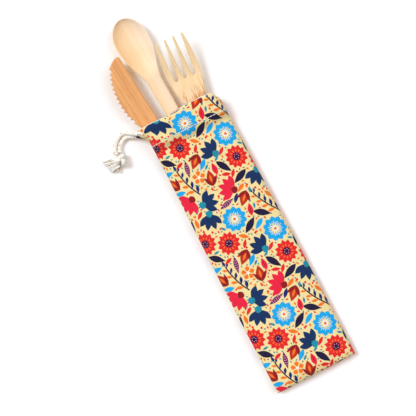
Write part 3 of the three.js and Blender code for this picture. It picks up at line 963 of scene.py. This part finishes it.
def berry_twig(size, dice):
    """A forked twig with a berry on each end."""
    for angle, length in ((-34, 1.25), (0, 1.6), (34, 1.25)):
        shape = turned(petal(size * length, size * 0.10, 1.0, 0, 6), angle)
        yield "midnight", [(x, y - size * 0.8) for x, y in shape]
        end = turned([(0, size * length)], angle)[0]
        yield "navy", disc(size * 0.17, 12, (end[0], end[1] - size * 0.8))


def fern(size, dice):
    """A bent stem with leaves that alternate in navy and orange."""
    bend = 26
    steps = 9

    def stem_point(t):
        angle = math.radians(bend * (t - 0.5))
        radius = size * 2 / math.radians(bend)
        return radius * (1 - math.cos(angle)), radius * math.sin(angle), math.degrees(angle)

    line = [stem_point(t) for t in np.linspace(0, 1, 12)]
    right, left = ([turned([(half_stem, 0)], -heading, (x, y))[0] for x, y, heading in line]
                   for half_stem in (0.6, -0.6))
    yield "midnight", right + left[::-1]
    for i in range(steps):
        x, y, heading = stem_point((i + 0.6) / steps)
        side = 1 if i % 2 else -1
        length = size * (0.52 - 0.022 * i)
        shape = petal(length, length * 0.40, 1.15, 0.3, 9)
        yield ("navy", "orange")[i % 2], turned(shape, -heading + side * 46, (x, y))
    x, y, heading = stem_point(1)
    yield "navy", turned(petal(size * 0.42, size * 0.17, 1.1, 0, 9), -heading, (x, y))


def leaf_circles(ends, middle):
    return [(0, -0.5, ends), (0, 0.5, ends), (0, 0, middle)]


# Each motif with its size, how often it stands in one repeat, and the circles that it fills
LARGE_MOTIFS = [
    (star_dahlia, 10.8, 3, [(0, 0, 0.98)]),
    (ray_daisy, 11.6, 2, [(0, 0, 0.98)]),
    (blue_fan, 11.0, 4, [(0, 0, 0.84)]),
    (crimson_fan, 10.8, 2, [(0, 0, 0.86)]),
    (fern, 15.0, 2, [(0, -0.72, 0.32), (0, 0, 0.38), (0, 0.72, 0.34)]),
    (bud, 7.6, 4, [(0, -0.4, 0.58), (0, 0.45, 0.46)]),
    (leaf("midnight"), 8.4, 6, leaf_circles(0.32, 0.35)),
    (rosette, 6.4, 2, [(0, 0, 0.92)]),
    (feather, 8.0, 2, leaf_circles(0.30, 0.30)),
    (berry_twig, 6.0, 1, [(0, 0, 1.05)]),
]
SMALL_MOTIFS = [
    (twin_leaf("crimson", "dark_red"), 6.0, 3, leaf_circles(0.40, 0.42)),
    (leaf("sky"), 6.2, 6, leaf_circles(0.36, 0.38)),
    (leaf("orange"), 5.0, 5, leaf_circles(0.34, 0.36)),
    (leaf("red"), 4.6, 8, leaf_circles(0.34, 0.36)),
    (leaf("navy"), 5.0, 8, leaf_circles(0.34, 0.36)),
    (leaf("teal"), 3.0, 8, [(0, -0.5, 0.36), (0, 0.5, 0.36)]),
    (dot("orange"), 1.7, 20, [(0, 0, 0.8)]),
    (dot("red"), 1.5, 24, [(0, 0, 0.8)]),
    (dot("teal"), 1.2, 40, [(0, 0, 0.8)]),
    (dot("navy"), 1.0, 40, [(0, 0, 0.8)]),
]
MOTIF_GAP = 0.5
PRINT_SEED = 7


def repeat_of_print(seed, tries=900):
    """Places each motif of one repeat where it fits closest to its neighbours."""
    dice = random.Random(seed)
    taken = np.zeros((0, 3))
    fields = []
    for draw, size, count, circles in LARGE_MOTIFS + SMALL_MOTIFS:
        for _ in range(count):
            best = None
            for _ in range(tries):
                at = (dice.uniform(0, REPEAT_WIDTH), dice.uniform(0, REPEAT_LENGTH))
                angle = dice.uniform(0, 360)
                own = [(*turned([(x * size, y * size)], angle, at)[0], r * size) for x, y, r in circles]
                room = 99.0
                for x, y, r in own:
                    if len(taken):
                        gaps = np.hypot(taken[:, 0] - x, taken[:, 1] - y) - taken[:, 2] - r
                        room = min(room, gaps.min())
                    if room < MOTIF_GAP:
                        break
                if room >= MOTIF_GAP and (best is None or room < best[0]):
                    best = (room, at, angle, own)
                    if room < MOTIF_GAP * 1.5:
                        break
            if best is None:
                continue
            _, at, angle, own = best
            copies = [(x + i * REPEAT_WIDTH, y + (j + i / 2) * REPEAT_LENGTH, r)
                      for x, y, r in own for i in (-1, 0, 1) for j in (-2, -1, 0, 1, 2)]
            taken = np.vstack([taken, copies])
            for ink, shape in draw(size, dice):
                fields.append((ink, turned(shape, angle, at)))
    return fields


# Pouch: p runs round the cloth from the middle of the back, and q up from the bottom edge, over the
# mouth's fold and down inside. The forms are worked out in millimetres, as in the part's source.
GIRTH = 2 * REPEAT_WIDTH
LENGTH = POUCH_LENGTH / MM
MOUTH = MOUTH_Y / MM
BOTTOM = BOTTOM_Y / MM
STITCH = STITCH_Y / MM
WALL = CASING_WALL / MM
FOLD_RADIUS = WALL / 2
FOLD_Y = MOUTH - FOLD_RADIUS
FOLD_START = LENGTH - FOLD_RADIUS
FOLD_END = FOLD_START + math.pi * FOLD_RADIUS
TURN_IN_END = FOLD_END + FOLD_Y - STITCH
CLOSING = 12
CLOTH_END = FOLD_END + FOLD_Y - BOTTOM - CLOSING
CORNER_REACH = 9.0
MOUTH_HEIGHT = 18.0
FILLED_HEIGHT = 11.9
EMPTY_HEIGHT = 11.2
SEAM_SHARE = 0.48
CLOTH_WALL = 0.7
HALF_MOUTH = MOUTH_WIDTH / MM / 2
CREASES = [
    ((-37, 111), (-18, 102), -0.5, 1.6),
    ((-37, 116), (-20, 112), 0.45, 1.8),
    ((-30, 96), (-8, 90), 0.35, 2.6),
    ((30, 108), (14, 98), -0.35, 2.4),
    ((36, 60), (24, 40), 0.40, 3.0),
    ((-37, 30), (-24, 12), 0.40, 3.0),
    ((37, -40), (20, -62), -0.45, 3.2),
    ((-38, -70), (-18, -86), 0.45, 3.2),
    ((30, -118), (8, -126), 0.40, 2.4),
    ((-30, -122), (-10, -128), -0.35, 2.2),
]


def into_casing(y):
    """0 in the pouch's body and 1 in the casing."""
    return smooth(y, STITCH - 9, STITCH + CASING_FOOT / MM)


def crown_height(y):
    body = mix(EMPTY_HEIGHT, FILLED_HEIGHT, smooth(y, -15.5, 34.5))
    at_casing = MOUTH_HEIGHT - HANDLE_SLOPE * (MOUTH - y)
    pinch = 0.7 * bump(y, STITCH, 1.3)
    return mix(body, at_casing, into_casing(y)) - pinch


def half_width(y):
    return mix(POUCH_WIDTH, MOUTH_WIDTH, smooth(y, -60, STITCH)) / MM / 2


def relief(x, y):
    """Creases, ridges over the handles, puckers at the stitching and slack waves in the cloth."""
    dx = x + half_width(y) + 6
    dy = y - (MOUTH - 5)
    away = np.hypot(dx, dy)
    angle = np.arctan2(dy, dx)
    rays = 0.45 * (1 + np.cos(angle * 11 + 0.6)) * smooth(away, 5, 12) * (1 - smooth(away, 22, 46))
    along = smooth(y, -30, 30) * (1 - smooth(y, STITCH - 12, STITCH))
    lift = np.full(np.broadcast(x, y).shape, -1.0)
    for place in (KNIFE_PLACE, SPOON_PLACE, FORK_PLACE):
        centre = place[0] / MM + (MOUTH - y) * math.tan(math.radians(place[1]))
        lift = np.maximum(lift, bump(x, centre, HANDLE_WIDTH / MM) - 1)
    ridges = 0.9 * along * lift
    puckers = 0.24 * np.sin(x * 1.02 + 1.3 * np.sin(x * 0.21)) * bump(y, STITCH, 5.0)
    gathers = 0.28 * np.sin(x * 0.62 + 0.9 * np.sin(x * 0.17) + 0.05 * y) * smooth(y, STITCH + 1, STITCH + 6)
    slack = 0.30 * np.sin(0.055 * y + 0.05 * x) * np.cos(0.09 * x - 0.02 * y)
    slack = slack + 0.20 * np.sin(0.16 * y - 0.11 * x + 1.1) * np.sin(0.13 * x + 0.07 * y)
    total = rays + ridges + puckers + gathers + slack * (1 - smooth(y, 60, 110))
    for (ax, ay), (bx, by), depth, reach in CREASES:
        length = math.hypot(bx - ax, by - ay)
        ux, uy = (bx - ax) / length, (by - ay) / length
        run = ((x - ax) * ux + (y - ay) * uy) / length
        off = (x - ax) * uy - (y - ay) * ux + 0.8 * np.sin(run * 5)
        fade = smooth(run, -0.15, 0.2) * (1 - smooth(run, 0.7, 1.1))
        total = total + depth * bump(off, 0, reach) * fade
    return total


def underside(u, flat):
    curl = np.maximum(0, (np.abs(u) - flat) / (1 - flat))
    return 1 - np.sqrt(np.maximum(0, 1 - curl**2))


def crown(u, y, mouth_fullness):
    filled = mix(4.5, 7.5, smooth(y, -10, 60))
    fullness = mix(filled, mouth_fullness, into_casing(y))
    return np.sqrt(np.maximum(0, 1 - np.abs(u) ** fullness))


def mouth_shift(x, y):
    """How far the mouth's edge wavers, and drops back at its right corner."""
    dropped = 9 * smooth(x, HALF_MOUTH - 7, HALF_MOUTH + 1) ** 1.5
    return (0.7 * np.sin(x * 0.13 + 0.4) - dropped) * smooth(y, STITCH, MOUTH)


def outer_point(y, turn):
    """The outside of the cloth at y, a share of a turn round the section from its right seam."""
    u = np.cos(2 * math.pi * turn)
    above_seam = np.sin(2 * math.pi * turn) >= 0
    top = crown_height(y)
    seam = SEAM_SHARE * top
    pull = np.where(u < 0, CORNER_REACH * bump(y, MOUTH - 5.0, 4.6) * np.abs(u) ** 6, 0)
    x = half_width(y) * u - pull
    above = seam + (top - seam) * crown(u, y, 10) + relief(x, y) * (1 - u**4)
    below = seam * underside(u, 0.76)
    full = np.where(above_seam, above, below)
    left = np.maximum(0, 1 - (y - BOTTOM) / CLOSING)
    closing = np.sqrt(np.maximum(0, 1 - left**2))
    edge = seam + 1.1 * np.where(above_seam, 1, -1) * (1 - np.abs(u) ** 8)
    z = mix(edge, full, closing)
    tip = smooth(-x, 36.5, 45.5)
    z = mix(z, 7.0 + (z - 7.0) * 0.60, tip)
    return np.stack([x, y + mouth_shift(x, y), z], axis=-1)


def inner_point(y, turn):
    """The hollow, one cloth in from the outside, and a whole casing in from it at the mouth."""
    u = np.cos(2 * math.pi * turn)
    above_seam = np.sin(2 * math.pi * turn) >= 0
    in_casing = into_casing(y)
    wall = mix(CLOTH_WALL, WALL, in_casing)
    top = crown_height(y)
    seam = SEAM_SHARE * top
    widening = smooth(y, STITCH + 4, MOUTH + 1)
    left_half = mix(HALF_MOUTH - 2.7, HALF_MOUTH + 3.5, widening)
    right_half = mix(HALF_MOUTH - 9.9, HALF_MOUTH - 7.1, widening)
    half = mix(half_width(y) - 1.6, np.where(u < 0, left_half, right_half), in_casing)
    x = half * u
    above = seam + (top - wall - seam) * crown(u, y, 24) + relief(x, y) * (1 - u**4) * (1 - in_casing)
    below = mix(seam, wall, 1 - underside(u, mix(0.76, 0.93, in_casing)))
    return np.stack([x, y + mouth_shift(x, y), np.where(above_seam, above, below)], axis=-1)


class Cloth:
    """Where each point of the flat cloth lies in space, from a fine table of the surface."""

    STEP = 0.5
    PLACES = 1441
    COLUMNS = 661

    def __init__(self):
        rows = np.arange(0, CLOTH_END + self.STEP, self.STEP)
        places = np.linspace(0, 1, self.PLACES)
        turns = 0.75 - places
        self.columns = np.linspace(-GIRTH / 2, GIRTH / 2, self.COLUMNS)
        self.rows = rows
        table = []
        place = None
        for q in rows:
            if q <= FOLD_START:
                y = BOTTOM + q
                ring = outer_point(np.full_like(turns, y), turns)
                run = np.concatenate([[0], np.cumsum(np.linalg.norm(np.diff(ring, axis=0), axis=1))])
                half = run[len(run) // 2]
                p = np.where(places < 0.5, (run / half - 1), (run - half) / (run[-1] - half)) * GIRTH / 2
                place = np.interp(self.columns, p, places)
                table.append(outer_point(np.full_like(place, y), 0.75 - place))
            elif q <= FOLD_END:
                bend = (q - FOLD_START) / FOLD_RADIUS
                outside = outer_point(np.full_like(place, FOLD_Y), 0.75 - place)
                inside = inner_point(np.full_like(place, FOLD_Y), 0.75 - place)
                middle, arm = (outside + inside) / 2, (outside - inside) / 2
                ring = middle + arm * math.cos(bend)
                reach = np.minimum(np.linalg.norm(arm, axis=1), FOLD_RADIUS * 1.25)
                ring[:, 1] += reach * math.sin(bend)
                table.append(ring)
            else:
                y = FOLD_Y - (q - FOLD_END)
                table.append(inner_point(np.full_like(place, y), 0.75 - place))
        self.table = np.array(table)

    def at(self, flat):
        """Points in space, in metres, for flat points (p, q)."""
        flat = np.asarray(flat, dtype=float)
        column = (flat[:, 0] + GIRTH / 2) / (self.columns[1] - self.columns[0])
        column = np.clip(column, 0, self.COLUMNS - 1 - 1e-9)
        row = np.clip(flat[:, 1] / self.STEP, 0, len(self.rows) - 1 - 1e-9)
        c, r = column.astype(int), row.astype(int)
        fc, fr = (column - c)[:, None], (row - r)[:, None]
        t = self.table
        return MM * ((t[r, c] * (1 - fc) + t[r, c + 1] * fc) * (1 - fr)
                     + (t[r + 1, c] * (1 - fc) + t[r + 1, c + 1] * fc) * fr)


def ranges(*stretches):
    """Numbers that run through stretches of (start, end, step)."""
    values = [np.linspace(a, b, max(1, round((b - a) / step)), endpoint=False) for a, b, step in stretches]
    return np.concatenate([*values, [stretches[-1][1]]])


def make_pouch():
    cloth = Cloth()
    side = REPEAT_WIDTH / 2
    half_columns = ranges((0, side - 7, 2.3), (side - 7, side + 9, 0.8), (side + 9, GIRTH / 2, 3.4))
    columns = np.concatenate([-half_columns[:0:-1], half_columns])
    rows = ranges((0, 12, 0.9), (12, FOLD_START - 24, 2.3), (FOLD_START - 24, FOLD_START, 1.2),
                  (FOLD_START, FOLD_END, 0.8), (FOLD_END, TURN_IN_END, 2.4), (TURN_IN_END, CLOTH_END, 12))
    grid = [(p, q) for p in columns for q in rows]
    points = [Vector(g) for g in grid]
    polygons, inks = [], []

    def add_field(ink, shape):
        start = len(points)
        points.extend(Vector(p) for p in shape)
        polygons.append(list(range(start, start + len(shape))))
        inks.append(INK_NAMES.index(ink))

    right = GIRTH / 2
    add_field("ground", [(-right, 0), (right, 0), (right, CLOTH_END), (-right, CLOTH_END)])
    for ink, shape in repeat_of_print(PRINT_SEED):
        middle = np.mean(shape, axis=0)
        reach = np.max(np.linalg.norm(np.array(shape) - middle, axis=1))
        for i in range(-3, 3):
            for j in range(-3, 6):
                dx, dy = i * REPEAT_WIDTH, (j + i / 2) * REPEAT_LENGTH
                if abs(middle[0] + dx) < right + reach and -reach < middle[1] + dy < TURN_IN_END - reach:
                    add_field(ink, [(x + dx, y + dy) for x, y in shape])
    # A thin pale strip along the fold, partly the cloth's pale back showing there and partly a painted
    # highlight on the fold; then the pale unprinted cloth inside, past the turn-in
    rim = FOLD_START + FOLD_RADIUS * 0.75
    add_field("rim", [(-right, rim), (right, rim), (right, rim + 0.9), (-right, rim + 0.9)])
    add_field("rim", [(-right, TURN_IN_END), (right, TURN_IN_END), (right, CLOTH_END), (-right, CLOTH_END)])

    corners, _, triangles, _, _, origins = delaunay_2d_cdt(points, [], polygons, 0, 1e-4)
    flat = np.array([tuple(c) for c in corners])
    faces, face_inks = [], []
    for triangle, origin in zip(triangles, origins):
        centre = flat[list(triangle)].mean(axis=0)
        if not origin or abs(centre[0]) > right or not 0 < centre[1] < CLOTH_END:
            continue
        faces.append(upward(triangle, flat))
        face_inks.append(inks[max(origin)])
    space = cloth.at(flat)
    materials = [cotton("cotton_" + name, colour) for name, colour in INKS.items()]
    flat_metres = np.column_stack([flat * MM, np.zeros(len(flat))])
    pouch = make_piece("pouch_cloth", space, faces, materials, ["pouch"], face_inks,
                       {"cloth": flat_metres})
    shell = bmesh.new()
    shell.from_mesh(pouch.data)
    bmesh.ops.remove_doubles(shell, verts=shell.verts, dist=2e-6)
    loose = [v for v in shell.verts if not v.link_faces]
    bmesh.ops.delete(shell, geom=loose, context="VERTS")
    rims = [e for e in shell.edges if e.is_boundary]
    bmesh.ops.holes_fill(shell, edges=rims, sides=0)
    for face in shell.faces:
        face.smooth = True
    shell.to_mesh(pouch.data)
    shell.free()
    return pouch, cloth


pouch, cloth = make_pouch()


# Stitching: one row of white thread across the front at the casing's foot, sunk a little in the cloth
STITCH_LENGTH = 2.5
STITCH_GAP = 0.7
THREAD_RADIUS = 0.36


def make_stitching():
    parts = []
    q = STITCH - BOTTOM + 0.3
    for p in np.arange(-REPEAT_WIDTH / 2 - 2, REPEAT_WIDTH / 2 + 2, STITCH_LENGTH + STITCH_GAP):
        across = np.linspace(p, p + STITCH_LENGTH, 6)
        line = cloth.at([(a, q) for a in across])
        dip = THREAD_RADIUS * MM * (0.55 - 1.1 * np.abs(np.linspace(-1, 1, 6)) ** 3)
        line[:, 2] += dip + 0.12 * MM
        parts.append(tube(line, np.full(6, THREAD_RADIUS * MM), 6))
    points, faces = merged(parts)
    return make_piece("casing_stitching", points, faces, [thread_material],
                      attributes={"place": points})


thread_material = cord_cotton("stitching_thread")
stitching = make_stitching()

# Floor
FLOOR_HALF = 1.6
FLOOR_TOP = -0.1 * MM
floor_corners = [(x * FLOOR_HALF, y * FLOOR_HALF, FLOOR_TOP)
                 for x, y in ((-1, -1), (1, -1), (1, 1), (-1, 1))]
floor_mesh = bpy.data.meshes.new("floor")
floor_mesh.from_pydata(floor_corners, [], [(0, 1, 2, 3)])
floor_mesh.materials.append(floor_white("floor_white"))
add_object("floor", floor_mesh)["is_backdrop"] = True

[[list(corner) for corner in box] for box in (cad_box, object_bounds())]
